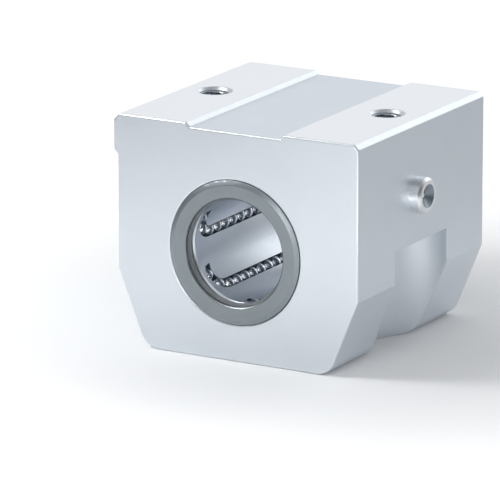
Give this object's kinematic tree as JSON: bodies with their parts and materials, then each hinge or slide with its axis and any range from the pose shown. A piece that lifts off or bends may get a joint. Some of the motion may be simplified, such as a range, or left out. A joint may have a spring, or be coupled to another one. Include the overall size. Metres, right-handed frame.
{
  "type": "linear bearing block",
  "caption": "Aluminium block with a sealed recirculating ball bearing for a round shaft, tapped mounting holes on top and a grease nipple on one side.",
  "frame": {"origin": "on the shaft axis, half way along the block", "axes": "+Y along the shaft, away from the pictured end; +Z towards the mounting pads; +X towards the grease nipple"},
  "size_m": [0.0688, 0.064, 0.0565],
  "materials": {
    "housing_aluminium": "fine milled, clear anodised",
    "sleeve_steel": "ground, hardened",
    "cage_steel": "satin",
    "ball_steel": "polished",
    "seal_steel": "satin, grey",
    "seal_rubber": "matt",
    "nipple_steel": "zinc plated",
    "valve_ball_steel": "polished",
    "spring_steel": "drawn wire"
  },
  "bodies": {
    "block": {"housing": "housing_aluminium", "bearing_sleeve": "sleeve_steel", "ball_cage": "cage_steel", "ball_circuit_1": "ball_steel", "ball_circuit_2": "ball_steel", "ball_circuit_3": "ball_steel", "ball_circuit_4": "ball_steel", "ball_circuit_5": "ball_steel", "ball_circuit_6": "ball_steel", "front_seal_case": "seal_steel", "front_seal_lip": "seal_rubber", "rear_seal_case": "seal_steel", "rear_seal_lip": "seal_rubber", "nipple_body": "nipple_steel", "nipple_spring": "spring_steel", "nipple_spring_seat": "nipple_steel"},
    "check_ball": {"nipple_check_ball": "valve_ball_steel"}
  },
  "joints": [
    {"name": "check_ball_travel", "type": "slide", "parent": "block", "child": "check_ball", "axis": [-1, 0, 0], "range_m": [0, 0.0008], "stiffness_N_per_m": 200, "springref_m": -0.001, "deforming": ["nipple_spring"]}
  ]
}
